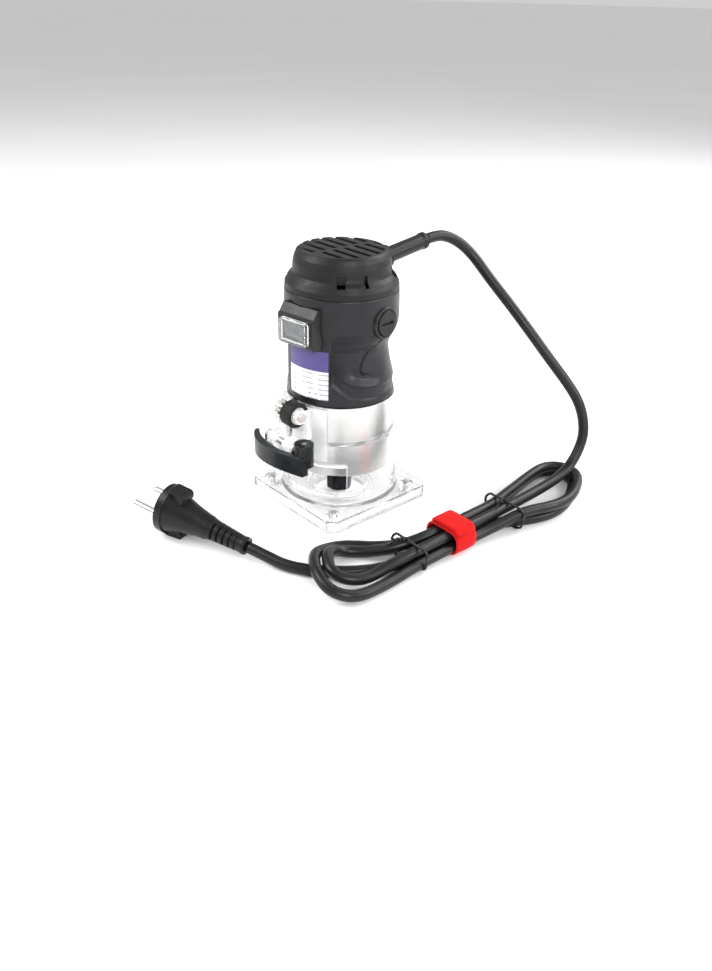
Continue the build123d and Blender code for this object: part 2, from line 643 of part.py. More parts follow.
def cord_hank():
    """Outer shape of the tied hank: two loops and the bundle between them."""
    def plan(points):
        return make_face(Spline(*points, periodic=True))
    hank = extrude(plan(HANK_EDGE) - plan(LEFT_EYE) - plan(RIGHT_EYE), HANK_HIGH)
    hank -= block((60, 130), (STRAP_Y[0] - 0.4, STRAP_Y[1] + 0.4), (-1, 2.4))
    for y in TIE_Y:
        hank -= block((60, 130), (y - 1.9, y + 1.9), (-1, 2.4))
    return hank


def band(y, x, thick):
    """Band round the bundle between two heights and two sides."""
    outer = block(x, y, (0.1, HANK_HIGH + 2.3))
    outer = fillet(outer.edges().filter_by(Axis.Y), 2.0)
    inner = block((x[0] + thick, x[1] - thick), (y[0] - 1, y[1] + 1), (2.2, HANK_HIGH + 0.15))
    return outer - inner


def cable_strap():
    return band(STRAP_Y, (79.5, 112.5), 1.8)


def twist_ties():
    """Two wire ties, each with its twisted tail standing up from the bundle."""
    ties = []
    for y, x in ((TIE_Y[0], (68.5, 110.6)), (TIE_Y[1], (85.0, 120.5))):
        tail = Pos(x[0] + 9, y, HANK_HIGH + 4.0) * Rot(0, -50, 0) * Cylinder(1.3, 9.0)
        ties.append(band((y - 1.0, y + 1.0), x, 1.6) + tail)
    return ties


def plug_plane():
    across = Vector(0, 0, 1).cross(PLUG_AXIS).normalized()
    return Plane(origin=PLUG_FACE, x_dir=across, z_dir=PLUG_AXIS)


def plug_body():
    """Oval face with two finger ears, tapering to a ribbed strain relief."""
    face = extrude(Ellipse(14.2, 16.2), 5.0)
    sections = Sketch() + [Pos(0, 0, 5.0) * Ellipse(13.2, 14.6), Pos(0, 0, 18.0) * Ellipse(9.6, 10.4),
                           Pos(0, 0, 32.0) * Ellipse(7.6, 7.6)]
    body = face + loft(sections)
    for side in (-1, 1):
        ear = block((-5.4, 5.4), (side * 13.4 - 3.2, side * 13.4 + 3.2), (2.0, 15.0))
        body += fillet(ear.edges().filter_by(Axis.X), 2.4)
    relief = turned([(0, 31.5), (7.6, 31.5), (6.6, 36.0), (5.2, 57.0), (5.6, 58.0), (5.4, PLUG_LENGTH),
                     (0, PLUG_LENGTH)])
    for k in range(5):
        low = 36.5 + 4.2 * k
        grooves = ring(12, 4.6, low, low + 1.7)
        grooves -= block((-1.3, 1.3), (-12, 12), (30, 60))
        relief -= grooves
    body += relief
    for side in (-1, 1):
        body -= Pos(side * PIN_SPACING / 2, 0, 0) * Cylinder(PIN_R, 2 * PIN_DEPTH)
    return plug_plane() * body


def plug_pins():
    pins = []
    for side in (-1, 1):
        pin = turned([(0, -19), (1.4, -19), (PIN_R, -17.4), (PIN_R, PIN_DEPTH - 0.1), (0, PIN_DEPTH - 0.1)])
        pins.append(plug_plane() * Pos(side * PIN_SPACING / 2, 0, 0) * pin)
    return pins


# ---- the whole object --------------------------------------------------------------------
def on_housing(piece):
    """Turns a piece with the housing about the motor's axis."""
    return Rot(0, 0, HOUSING_TURN) * piece


def build():
    os.makedirs("parts", exist_ok=True)
    fixed = {
        "sub_base_plate": [sub_base_plate()],
        "base_moulding": [base_moulding()],
        "sub_base_screws": sub_base_screws(),
        "clamp_bolt": [clamp_bolt()],
        "clamp_nut": [clamp_nut()],
        "clamp_washers": clamp_washers(),
        "lever_pin": [lever_pin()],
        "cam_lever": [cam_lever()],
        "wheel_screw": [wheel_screw()],
        "depth_pinion": [depth_pinion()],
        "depth_wheel_tyre": [depth_wheel_tyre()],
        "motor_collar": [motor_collar()],
        "gear_rack": [gear_rack()],
        "lower_bearing": [bearing(13.0, SPINDLE_R + 0.01, 34.1, 42.1)],
        "bearing_retainer": [bearing_retainer()],
        "armature_shaft": [armature_shaft()],
        "armature_core": [armature_core()],
        "armature_windings": armature_windings(),
        "commutator": [commutator()],
        "cooling_fan": [cooling_fan()],
        "collet": [collet()],
        "collet_nut": [collet_nut()],
        "cord_guard": [cord_guard()],
        "cord_lead": [cord_tube(LEAD_POINTS)],
        "cord_tail": [cord_tube(TAIL_POINTS)],
        "cable_strap": [cable_strap()],
        "twist_ties": twist_ties(),
        "plug_body": [plug_body()],
        "plug_pins": plug_pins(),
        "cover_screws": cover_screws(),
    }
    fixed["cord_hank"] = [cord_hank() - fixed["cord_tail"][0]]
    turned_with_housing = {
        "stator_core": [stator_core()],
        "field_coils": field_coils(),
        "brush_holders": brush_holders(),
        "carbon_brushes": carbon_brushes(),
        "brush_springs": brush_springs(),
        "brush_caps": brush_caps(),
        "label_plate": [label_plate()],
        "switch_bezel": [switch_bezel()],
        "switch_boot": [switch_boot()],
        "switch_rocker": [switch_rocker()],
        "switch_body": [switch_body()],
        "upper_bearing": [bearing(11.0, 4.01, 141.0, 148.0)],
    }
    for name, pieces in fixed.items():
        save(name, *pieces)
    for name, pieces in turned_with_housing.items():
        save(name, *[on_housing(piece) for piece in pieces])
    housing = on_housing(motor_housing())
    for boss in screw_bosses(136.0, HOUSING_TOP - 0.2):
        housing += boss
    save("motor_housing", housing)
    save("top_cover", top_cover())
    save("cord_clamp", cord_clamp())


if __name__ == "__main__":
    build()
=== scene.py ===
import math

import bpy
from mathutils import Matrix, Vector


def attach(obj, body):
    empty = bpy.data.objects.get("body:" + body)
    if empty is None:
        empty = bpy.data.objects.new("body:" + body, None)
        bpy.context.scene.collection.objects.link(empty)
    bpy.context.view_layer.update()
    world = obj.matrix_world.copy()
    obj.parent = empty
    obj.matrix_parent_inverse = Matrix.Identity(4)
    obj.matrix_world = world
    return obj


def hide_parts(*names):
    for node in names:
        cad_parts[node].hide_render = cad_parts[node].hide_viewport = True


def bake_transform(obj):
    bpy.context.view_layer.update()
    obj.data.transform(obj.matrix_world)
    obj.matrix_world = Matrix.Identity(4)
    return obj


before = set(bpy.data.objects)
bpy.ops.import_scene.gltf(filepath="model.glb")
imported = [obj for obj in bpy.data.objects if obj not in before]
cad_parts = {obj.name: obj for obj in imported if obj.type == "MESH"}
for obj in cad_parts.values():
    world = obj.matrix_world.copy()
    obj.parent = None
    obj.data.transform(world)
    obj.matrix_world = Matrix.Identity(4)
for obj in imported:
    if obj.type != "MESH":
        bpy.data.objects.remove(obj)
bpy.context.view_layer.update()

MM = 0.001

CAMERA_AT = (394.0, -338.1, 294.7)
CAMERA_TARGET = (20.63, -3.00, 13.31)
CAMERA_ROLL = 1.44
CAMERA_LENS = 32.33
SENSOR = 36                 # sensor's long side

CORD_D = 7.0
CORD_SIDES = 20             # sides of the tube that stands for it

# Housing: azimuth 0 is -Y and grows towards +X.
HOUSING_TURN = 7.0          # the housing sits turned on the collar
PANEL_HALF = 31.8           # half angle of the flatter front panel
PANEL_R = 34.1
PANEL_STARTS = (78.5, 80.5)     # heights over which the panel fades in and out
PANEL_ENDS = (133.0, 137.0)
SIDES_FROM = 36.0           # azimuth beyond which the grip's grooves begin
SEAM_Z = 119.5              # parting line between the grip and the crown
BOSS_Z = 127.0              # height of the brush bosses
LIP_R = 30.9                # inner wall of the housing's lips
LIP_HEIGHT = 6.0

# Clear base, for its frosted edges
SLEEVE_OUT = (34.7, 39.0)   # radii between which the sleeve's wall lies
WINDOW_HALF = 57.2          # half angle of the chip window
WINDOW_Z = (16.0, 37.0)
JAMB = 0.6                  # angle that the sawn side of the window takes up
LINTEL_Z = (36.3, 36.7)
TOWER_HALF = 37.0           # half angle of the tower that holds the depth wheel
TOWER_Z = (40.0, 80.0)

# Label
BAND_Z = 98.5               # the violet band lies above this height
PRINT_STEP = 3.2            # spacing of the rows of bars

# Strap round the bundle of cords
STRAP_X = 96.3              # middle of the band
STRAP_MID_Z = 8.4
STRAP_Y = 8.5
STRAP_HALF = 13.6           # half its reach across the bundle
STRAP_LOW = 0.25
STRAP_TOP = 16.6
STRAP_CORNER = 7.2
STRAP_THICK = 1.5

# Twist ties
TIE_R = 0.8
TIE_LOW = 0.95              # height of the wire's middle under the bundle
TIE_CORNER = 5.0
TAIL_R = 0.6                # each of the two twisted ends
TAIL_LENGTH = 11.0
TWIST = 14.0                # radians that the ends turn round each other, if twisted to their tips
TWIST_ENDS = 0.7            # part of their length after which they spread

FLOOR_HALF = 90000          # so wide that its edge lies at the horizon

# Control points of the cord, from the guard to the plug, on one spline.
CORD_LEAD = [
    (0, 69.0, 159.4), (0, 79.9, 161.1), (2.7, 89.5, 159.2), (7.6, 97.6, 153.8), (14.0, 103.2, 146.0),
    (25.5, 107.4, 133.2), (40.6, 112.6, 118.4), (55.4, 118.2, 102.4), (69.7, 124.0, 86.1),
    (80.8, 130.9, 71.7), (88.8, 134.9, 60.6), (94.1, 136.2, 49.3), (97.9, 134.4, 38.2),
    (98.6, 130.0, 28.0), (99.0, 122.5, 19.5),
]
CORD_HANK = [
    # over the end of the right loop and along the bundle, then the inner left loop
    (99.6, 111, 14.8), (100.2, 94, 13.2), (100.6, 74, 12.4), (100.2, 55, 11.8), (100.2, 20, 11.6),
    (100.2, -14, 11.6), (99.2, -36, 10.8), (97.5, -50, 8), (97, -60, 6.8), (94.5, -68.5, 7.4),
    (89, -74.5, 9), (81.7, -76, 11), (75.6, -72.6, 12.2), (69.7, -68, 12), (64.6, -60.5, 8.8),
    (64.9, -52, 5), (70.4, -44.8, 4.2), (77.8, -37.8, 5.5), (85.5, -29, 8.6), (91, -15, 11.2),
    # back along the bundle and round the upper right loop
    (92.4, 2, 11.6), (92.4, 30, 11.6), (92.2, 50, 11.4), (88.4, 67, 11), (85, 85, 10.9),
    (81.6, 101.5, 10.9), (79.6, 117.5, 10.9), (83.4, 126.4, 10.9), (91.3, 130.5, 10.9),
    (99.9, 129.2, 10.9), (106.3, 122.8, 10.9), (111.8, 113.5, 10.9), (116.4, 103.5, 10.9),
    (118.8, 92, 10.9), (117.4, 79.5, 11.2), (113.6, 67.5, 11.6), (110.6, 56, 11.4), (108, 42, 8.6),
    (105.2, 28, 6),
    # along the bundle again and round the outer left loop
    (104, 10, 5.5), (104, -12, 5.5), (103.6, -30, 4.6), (104.6, -46, 3.9), (105, -60, 3.9),
    (104.6, -73, 4.4), (100.5, -82, 6.2), (92.5, -86.4, 8.6), (83.5, -85.6, 11.6), (75, -81.6, 12.4),
    (66, -75, 11.6), (58.8, -66.5, 7.6), (56.2, -56.5, 4.2), (58.5, -47.5, 3.7), (65.5, -39.5, 3.7),
    (73.5, -31.5, 3.9), (81, -22, 4.8), (87, -9, 5.5),
    # back and round the lower right loop, then under the others towards the tail
    (88.6, 8, 5.5), (88.6, 30, 5.5), (87.8, 50, 5), (85, 67, 4), (80.3, 87.2, 3.7), (76.2, 105, 3.7),
    (74.2, 121.4, 3.7), (78, 130, 3.7), (85.8, 133.9, 3.7), (94.2, 132.5, 3.7), (100.8, 126.4, 3.7),
    (106.4, 117.2, 3.7), (111.4, 107.4, 3.7), (115.2, 95.7, 3.7), (116.2, 82.2, 3.7),
    (112.6, 68.7, 3.8), (106.6, 56.5, 3.7), (100.4, 44.5, 3.9), (97, 30, 4.5), (96.3, 12, 5.3),
    (96.3, -12, 5.5), (95.6, -28, 4.4), (92.5, -43, 3.6),
]
CORD_TAIL = [
    (86.5, -56, 3.6), (77.5, -67.5, 3.6), (66.5, -78.6, 3.6), (54.0, -87.0, 4.0), (40.62, -91.64, 6.06),
    (28.6, -95.9, 8.0),
]


# ---- node helpers ------------------------------------------------------------------------
class Shader:
    """One node material with short calls to add and join its nodes."""

    def __init__(self, name):
        self.material = bpy.data.materials.new(name)
        self.material.use_nodes = True
        self.tree = self.material.node_tree
        self.main = self.tree.nodes["Principled BSDF"]
        self.out = self.tree.nodes["Material Output"]
        self.place = self.add("ShaderNodeTexCoord").outputs["Object"]

    def add(self, kind, **values):
        """New node; a value is one of its settings or, failing that, one of its inputs."""
        node = self.tree.nodes.new(kind)
        for key, value in values.items():
            if hasattr(node, key):
                setattr(node, key, value)
            else:
                node.inputs[key.replace("_", " ")].default_value = value
        return node

    def join(self, source, target):
        self.tree.links.new(source, target)

    def set(self, **values):
        """Sets inputs of the main shader; an underscore stands for a space."""
        for key, value in values.items():
            self.main.inputs[key.replace("_", " ")].default_value = value

    def noise(self, scale, detail=3.0, stretch=(1, 1, 1)):
        """Noise in the object's own space; scale is per metre."""
        mapping = self.add("ShaderNodeMapping")
        mapping.inputs["Scale"].default_value = stretch
        self.join(self.place, mapping.inputs["Vector"])
        noise = self.add("ShaderNodeTexNoise", Scale=scale, Detail=detail)
        self.join(mapping.outputs["Vector"], noise.inputs["Vector"])
        return noise.outputs["Fac"]

    def span(self, source, low, high, start=0.35, end=0.65):
        """Maps a 0..1 signal to a range of values."""
        node = self.add("ShaderNodeMapRange")
        node.inputs["From Min"].default_value = start
        node.inputs["From Max"].default_value = end
        node.inputs["To Min"].default_value = low
        node.inputs["To Max"].default_value = high
        self.join(source, node.inputs["Value"])
        return node.outputs["Result"]

    def mix(self, factor, first, second):
        """Mixes two colours, each of them a socket or a plain colour."""
        node = self.add("ShaderNodeMix", data_type="RGBA")
        colour_a, colour_b = [s for s in node.inputs if s.name in "AB" and s.type == "RGBA"]
        for value, socket in ((first, colour_a), (second, colour_b)):
            if isinstance(value, (tuple, list)):
                socket.default_value = (*value, 1.0)
            else:
                self.join(value, socket)
        factor_socket = [s for s in node.inputs if s.name == "Factor" and s.type == "VALUE"][0]
        self.join(factor, factor_socket)
        return [s for s in node.outputs if s.type == "RGBA"][0]

    def math(self, operation, first, second=None):
        """Arithmetic on sockets or numbers."""
        node = self.add("ShaderNodeMath", operation=operation)
        for value, socket in ((first, node.inputs[0]), (second, node.inputs[1])):
            if isinstance(value, (int, float)):
                socket.default_value = value
            elif value is not None:
                self.join(value, socket)
        return node.outputs["Value"]

    def inside(self, value, low, high):
        """1 where a value lies between two limits, otherwise 0."""
        above = self.math("GREATER_THAN", value, low)
        below = self.math("LESS_THAN", value, high)
        return self.math("MULTIPLY", above, below)

    def bump(self, height, depth, strength=1.0, edge=0.0):
        """Surface relief; depth in millimetres. edge rounds sharp corners by that many millimetres."""
        node = self.add("ShaderNodeBump")
        node.inputs["Strength"].default_value = strength
        node.inputs["Distance"].default_value = depth * MM
        self.join(height, node.inputs["Height"])
        if edge:
            round_edge = self.add("ShaderNodeBevel", samples=4)
            round_edge.inputs["Radius"].default_value = edge * MM
            self.join(round_edge.outputs["Normal"], node.inputs["Normal"])
        self.join(node.outputs["Normal"], self.main.inputs["Normal"])


def moulded(name, colour, rough, grain=1800.0, depth=0.03, vary=0.25, edge=0.5):
    """Moulded plastic or rubber: fine grain, slight colour drift, uneven gloss, soft edges."""
    shader = Shader(name)
    darker = tuple(c * (1 - vary) for c in colour)
    lighter = tuple(min(1.0, c * (1 + vary)) for c in colour)
    tone = shader.span(shader.noise(60.0), 0.0, 1.0)
    shader.join(shader.mix(tone, darker, lighter), shader.main.inputs["Base Color"])
    gloss = shader.span(shader.noise(140.0, 5.0), rough * 0.85, min(1.0, rough * 1.15))
    shader.join(gloss, shader.main.inputs["Roughness"])
    shader.bump(shader.noise(grain, 2.0), depth, 0.5, edge)
    shader.set(Specular_IOR_Level=0.28)
    return shader


def metal(name, colour, rough, stretch=(1, 1, 1), depth=0.01):
    """Machined metal: fine tool marks along one direction and small changes of shine."""
    shader = Shader(name)
    marks = shader.noise(900.0, 4.0, stretch)
    darker = tuple(c * 0.93 for c in colour)
    tone = shader.span(shader.noise(90.0), 0, 1)
    shader.join(shader.mix(tone, darker, colour), shader.main.inputs["Base Color"])
    shader.join(shader.span(marks, rough * 0.75, rough * 1.25), shader.main.inputs["Roughness"])
    shader.bump(marks, depth, 0.5, 0.3)
    shader.set(Metallic=1.0)
    return shader


def clear(name, tint, rough, haze=0.0, through=0.93):
    """Clear plastic that bends light, with hair-fine scratches; its shadow stays light."""
    shader = Shader(name)
    shader.set(Base_Color=(*tint, 1.0), IOR=1.38, Transmission_Weight=1.0)
    scuffs = shader.span(shader.noise(700.0, 6.0, (1, 1, 6)), rough, rough * 3 + 0.02, 0.5, 0.8)
    shader.join(scuffs, shader.main.inputs["Roughness"])
    shader.bump(shader.noise(160.0, 2.0), 0.02, 0.3, 0.35)
    light_path = shader.add("ShaderNodeLightPath")
    see_through = shader.add("ShaderNodeBsdfTransparent")
    see_through.inputs["Color"].default_value = (through, through, through, 1)
    body = shader.add("ShaderNodeMixShader")
    milky = shader.add("ShaderNodeBsdfDiffuse")
    milky.inputs["Color"].default_value = (0.95, 0.96, 0.97, 1)
    body.inputs["Fac"].default_value = haze
    shader.join(shader.main.outputs["BSDF"], body.inputs[1])
    shader.join(milky.outputs["BSDF"], body.inputs[2])
    final = shader.add("ShaderNodeMixShader")
    shader.join(light_path.outputs["Is Shadow Ray"], final.inputs["Fac"])
    shader.join(body.outputs["Shader"], final.inputs[1])
    shader.join(see_through.outputs["BSDF"], final.inputs[2])
    shader.join(final.outputs["Shader"], shader.out.inputs["Surface"])
    shader.haze = body.inputs["Fac"]
    return shader


def clear_moulding():
    """Clear base: the machined edges of its chip window and its tower are frosted white."""
    shader = clear("clear_moulding", (1.0, 1.0, 1.0), 0.012)
    split = shader.add("ShaderNodeSeparateXYZ")
    shader.join(shader.place, split.inputs["Vector"])
    x, y, z = (split.outputs[axis] for axis in "XYZ")
    angle = shader.math("ARCTAN2", x, shader.math("MULTIPLY", y, -1.0))
    side = shader.math("ABSOLUTE", angle)
    square = shader.math("ADD", shader.math("MULTIPLY", x, x), shader.math("MULTIPLY", y, y))
    out = shader.math("SQRT", square)
    on_sleeve = shader.inside(out, *(r * MM for r in SLEEVE_OUT))
    window = math.radians(WINDOW_HALF)
    jamb = shader.math("MULTIPLY", shader.inside(side, window - math.radians(JAMB), window),
                       shader.inside(z, *(h * MM for h in WINDOW_Z)))
    lintel = shader.math("MULTIPLY", shader.inside(side, -1.0, window),
                         shader.inside(z, *(h * MM for h in LINTEL_Z)))
    sawn = shader.math("MULTIPLY", on_sleeve, shader.math("MAXIMUM", jamb, lintel))
    tower = shader.math("MULTIPLY", shader.inside(side, -1.0, math.radians(TOWER_HALF)),
                        shader.inside(z, *(h * MM for h in TOWER_Z)))
    frost = shader.math("MAXIMUM", shader.math("MULTIPLY", sawn, 0.92), shader.math("MULTIPLY", tower, 0.28))
    shader.join(shader.math("ADD", frost, 0.05), shader.haze)
    return shader


def label_film():
    """Plain printed label: a violet band over white, with grey bars where print would be."""
    shader = Shader("label_film")
    split = shader.add("ShaderNodeSeparateXYZ")
    shader.join(shader.place, split.inputs["Vector"])
    height = split.outputs["Z"]
    band = shader.span(height, 0.0, 1.0, BAND_Z * MM, (BAND_Z + 0.3) * MM)
    rows = shader.math("SINE", shader.math("MULTIPLY", height, 2 * math.pi / (PRINT_STEP * MM)))
    lines = shader.span(rows, 0.0, 1.0, 0.45, 0.6)
    words = shader.span(shader.noise(260.0, 1.0, (1, 1, 0.2)), 0.0, 1.0, 0.49, 0.52)
    print_on = shader.math("MULTIPLY", lines, words)
    white = shader.mix(print_on, (0.80, 0.80, 0.82), (0.36, 0.36, 0.40))
    shader.join(shader.mix(band, white, (0.062, 0.045, 0.20)), shader.main.inputs["Base Color"])
    shader.join(shader.span(shader.noise(200.0), 0.25, 0.4), shader.main.inputs["Roughness"])
    shader.bump(shader.noise(900.0, 2.0), 0.01, 0.4)
    return shader


def hook_and_loop():
    """Red woven tape with a fuzz of loops."""
    shader = Shader("hook_and_loop")
    fuzz = shader.noise(2600.0, 4.0)
    weave = shader.add("ShaderNodeTexWave", Scale=420.0, Distortion=3.0, bands_direction="Y")
    shader.join(shader.place, weave.inputs["Vector"])
    tone = shader.mix(shader.span(fuzz, 0, 1), (0.42, 0.0006, 0.001), (0.60, 0.001, 0.002))
    shader.join(tone, shader.main.inputs["Base Color"])
    relief = shader.add("ShaderNodeMath", operation="MULTIPLY_ADD")
    relief.inputs[1].default_value = 0.5
    shader.join(weave.outputs["Fac"], relief.inputs[0])
    shader.join(fuzz, relief.inputs[2])
    shader.bump(relief.outputs["Value"], 0.35, 0.8)
    shader.set(Roughness=0.85, Specular_IOR_Level=0.2, Sheen_Weight=0.05, Sheen_Tint=(1.0, 0.5, 0.5, 1.0))
    return shader


def cord_sheath():
    """Black rubber with a coarser grain than the mouldings have."""
    shader = moulded("cord_sheath", (0.0060, 0.0060, 0.0062), 0.36, grain=2600.0, depth=0.06, vary=0.35,
                     edge=0.0)
    shader.set(Specular_IOR_Level=0.30)
    return shader


def make_materials():
    """Every material of the scene, by the name of its look."""
    turned_marks = (1, 1, 14)
    made = {
        "housing": moulded("housing_plastic", (0.0125, 0.0120, 0.0148), 0.38, grain=2200.0, depth=0.035),
        "cover": moulded("cover_plastic", (0.0060, 0.0066, 0.0068), 0.46, grain=2200.0, depth=0.035,
                         edge=0.4),
        "switch": moulded("switch_plastic", (0.0085, 0.0092, 0.0094), 0.36, grain=2000.0, depth=0.02,
                          edge=0.6),
        "rocker": moulded("rocker_plastic", (0.030, 0.036, 0.037), 0.20, grain=600.0, depth=0.01, vary=0.1,
                          edge=0.4),
        "lever": moulded("lever_plastic", (0.008, 0.010, 0.012), 0.28, grain=1500.0, depth=0.02, edge=1.0),
        "wheel": moulded("wheel_rubber", (0.006, 0.006, 0.006), 0.50, grain=1500.0, depth=0.05, edge=0.3),
        "inside": moulded("inner_plastic", (0.03, 0.03, 0.032), 0.5),
        "sole": clear("clear_sole", (1.0, 1.0, 1.0), 0.012, haze=0.05),
        "clear": clear_moulding(),
        "boot": clear("clear_boot", (0.93, 0.94, 0.95), 0.05, haze=0.04, through=0.8),
        "collar": metal("satin_collar", (0.66, 0.66, 0.65), 0.32, turned_marks, depth=0.004),
        "steel": metal("zinc_steel", (0.62, 0.61, 0.58), 0.28),
        "bright": metal("ground_steel", (0.66, 0.66, 0.67), 0.20, turned_marks),
        "black": metal("black_oxide", (0.022, 0.022, 0.025), 0.36, turned_marks),
        "rack": metal("rack_steel", (0.30, 0.30, 0.31), 0.35),
        "core": metal("laminated_core", (0.24, 0.24, 0.25), 0.5, (1, 1, 40)),
        "copper": metal("varnished_copper", (0.60, 0.26, 0.11), 0.35, (1, 1, 20)),
        "pins": metal("plated_pins", (0.78, 0.77, 0.73), 0.16),
        "label": label_film(),
        "cord": cord_sheath(),
        "plug": moulded("plug_rubber", (0.0055, 0.0055, 0.0058), 0.36, grain=2000.0, depth=0.04, edge=0.5),
        "strap": hook_and_loop(),
        "tie": moulded("tie_coating", (0.012, 0.012, 0.013), 0.25, grain=1200.0, depth=0.02, edge=0.0),
    }
    return {name: shader.material for name, shader in made.items()}


# Which CAD nodes take which look.
LOOKS = {
    "sole": ["sub_base_plate"],
    "clear": ["base_moulding"],
    "boot": ["switch_boot"],
    "collar": ["motor_collar"],
    "steel": ["sub_base_screws", "clamp_bolt", "clamp_nut", "clamp_washers", "lever_pin", "wheel_screw",
              "depth_pinion", "bearing_retainer", "cover_screws", "brush_springs"],
    "bright": ["lower_bearing", "upper_bearing", "armature_shaft", "collet"],
    "black": ["collet_nut"],
    "rack": ["gear_rack"],
    "lever": ["cam_lever"],
    "wheel": ["depth_wheel_tyre"],
    "cover": ["top_cover", "brush_caps"],
    "housing": ["motor_housing"],
    "switch": ["switch_bezel", "switch_body"],
    "rocker": ["switch_rocker"],
    "label": ["label_plate"],
    "core": ["stator_core", "armature_core"],
    "copper": ["field_coils", "armature_windings", "commutator"],
    "inside": ["cord_clamp", "brush_holders", "cooling_fan", "carbon_brushes"],
    "plug": ["cord_guard", "plug_body"],
    "cord": ["cord_lead", "cord_tail", "cord_hank"],
    "pins": ["plug_pins"],
    "strap": ["cable_strap"],
    "tie": ["twist_ties"],
}


def dress_frame(materials):
    """Gives every CAD node its node material."""
    for look, nodes in LOOKS.items():
        for node in nodes:
            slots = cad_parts[node].material_slots
            for slot in slots:
                slot.material = materials[look]


# ---- mesh helpers ------------------------------------------------------------------------
def mesh_object(name, points, faces, material, smooth=True):
    """Object from points in millimetres."""
    mesh = bpy.data.meshes.new(name)
    mesh.from_pydata([Vector(p) * MM for p in points], [], faces)
    mesh.validate()
    mesh.update()
    if smooth:
        mesh.shade_smooth()
    piece = bpy.data.objects.new(name, mesh)
    piece.data.materials.append(material)
    bpy.context.collection.objects.link(piece)
    return piece


def grid_faces(rows, columns, closed_rows=False):
    """Four-sided faces between rows of points; each row is a closed ring."""
    faces = []
    for r in range(rows if closed_rows else rows - 1):
        for c in range(columns):
            r2, c2 = (r + 1) % rows, (c + 1) % columns
            faces.append((r * columns + c, r * columns + c2, r2 * columns + c2, r2 * columns + c))
    return faces


def tube_mesh(name, path, radius, material, sides=CORD_SIDES):
    """Tube of a constant round section, closed at both ends, along a path of points in millimetres."""
    points = []
    normal = None
    for k, here in enumerate(path):
        before, after = path[max(0, k - 1)], path[min(len(path) - 1, k + 1)]
        along = (after - before).normalized()
        if normal is None:
            normal = along.orthogonal().normalized()
        normal = (normal - along * normal.dot(along)).normalized()
        across = along.cross(normal)
        for s in range(sides):
            angle = 2 * math.pi * s / sides
            points.append(here + (normal * math.cos(angle) + across * math.sin(angle)) * radius)
    faces = grid_faces(len(path), sides)
    first, last = len(points), len(points) + 1
    points += [path[0], path[-1]]
    tail = (len(path) - 1) * sides
    for s in range(sides):
        faces.append((first, (s + 1) % sides, s))
        faces.append((last, tail + s, tail + (s + 1) % sides))
    return mesh_object(name, points, faces, material)


def nurbs_line(name, controls):
    """Points read off a smooth NURBS spline through its control points, in millimetres."""
    curve = bpy.data.curves.new(name, "CURVE")
    curve.dimensions = "3D"
    curve.resolution_u = 8
    spline = curve.splines.new("NURBS")
    spline.points.add(len(controls) - 1)
    for point, (x, y, z) in zip(spline.points, controls):
        point.co = (x * MM, y * MM, z * MM, 1.0)
    spline.order_u = 3
    spline.use_endpoint_u = True
    holder = bpy.data.objects.new(name, curve)
    bpy.context.collection.objects.link(holder)
    bpy.context.view_layer.update()
    mesh = bpy.data.meshes.new_from_object(holder.evaluated_get(bpy.context.evaluated_depsgraph_get()))
    line = [v.co / MM for v in mesh.vertices]
    bpy.data.objects.remove(holder)
    bpy.data.meshes.remove(mesh)
    return line


# ---- housing -----------------------------------------------------------------------------
SIDE_LINE = [   # (height, radius) of the housing away from its front panel
    (75.7, 33.3), (76.2, 34.0), (80.0, 34.1), (84.0, 33.8), (88.0, 33.2), (92.0, 32.2), (96.0, 31.2),
    (100.0, 30.3), (104.0, 29.7), (107.0, 29.5), (110.0, 29.9), (113.0, 31.1), (116.0, 32.7), (119.0, 34.2),
    (122.0, 35.1), (125.0, 35.45), (130.0, 35.4), (136.0, 35.25), (141.6, 35.0), (142.3, 34.6),
]
# Lines of (azimuth, height) on each side of the grip: a fine groove, a dished scoop and the ledge under it.
GROOVE = [(99.3, 116.4), (91.0, 113.6), (83.5, 109.8), (77.0, 105.6), (72.7, 101.5), (72.4, 97.6),
          (75.2, 95.2), (79.5, 95.0)]
SCALLOP = [(50.0, 100.0), (64.0, 95.6), (78.0, 93.0), (92.0, 92.4), (106.0, 92.4)]
LEDGE = [(36.0, 99.0), (46.9, 95.5), (52.5, 92.0), (58.6, 89.7), (70.0, 88.2), (86.8, 87.0), (110.0, 86.6)]


def side_radius(z):
    """Reads the side line at a height."""
    for (z0, r0), (z1, r1) in zip(SIDE_LINE, SIDE_LINE[1:]):
        if z <= z1:
            return r0 + (r1 - r0) * max(0.0, (z - z0) / (z1 - z0))
    return SIDE_LINE[-1][1]


def smooth_step(value, low, high):
    """0 below the low limit, 1 above the high one, and a smooth rise between them."""
    t = min(1.0, max(0.0, (value - low) / (high - low)))
    return t * t * (3 - 2 * t)


def distance_to(line, azimuth, z):
    """Millimetres on the housing's wall from a point to a line of (azimuth, height) points."""
    wall_r = 33.0
    scale = math.radians(wall_r)
    here = Vector((azimuth * scale, z))
    best = 1e9
    for a, b in zip(line, line[1:]):
        p, q = Vector((a[0] * scale, a[1])), Vector((b[0] * scale, b[1]))
        t = max(0.0, min(1.0, (here - p).dot(q - p) / (q - p).length_squared))
        best = min(best, (p + (q - p) * t - here).length)
    return best


def height_on(line, azimuth):
    """Height of a line of (azimuth, height) points at an azimuth."""
    for (a0, z0), (a1, z1) in zip(line, line[1:]):
        if a0 <= azimuth <= a1:
            return z0 + (z1 - z0) * (azimuth - a0) / (a1 - a0)
    return line[0][1] if azimuth < line[0][0] else line[-1][1]


def dent(distance, depth, half_width):
    """Depth of a rounded groove at a distance from its middle."""
    return depth * math.exp(-(distance / half_width) ** 2)


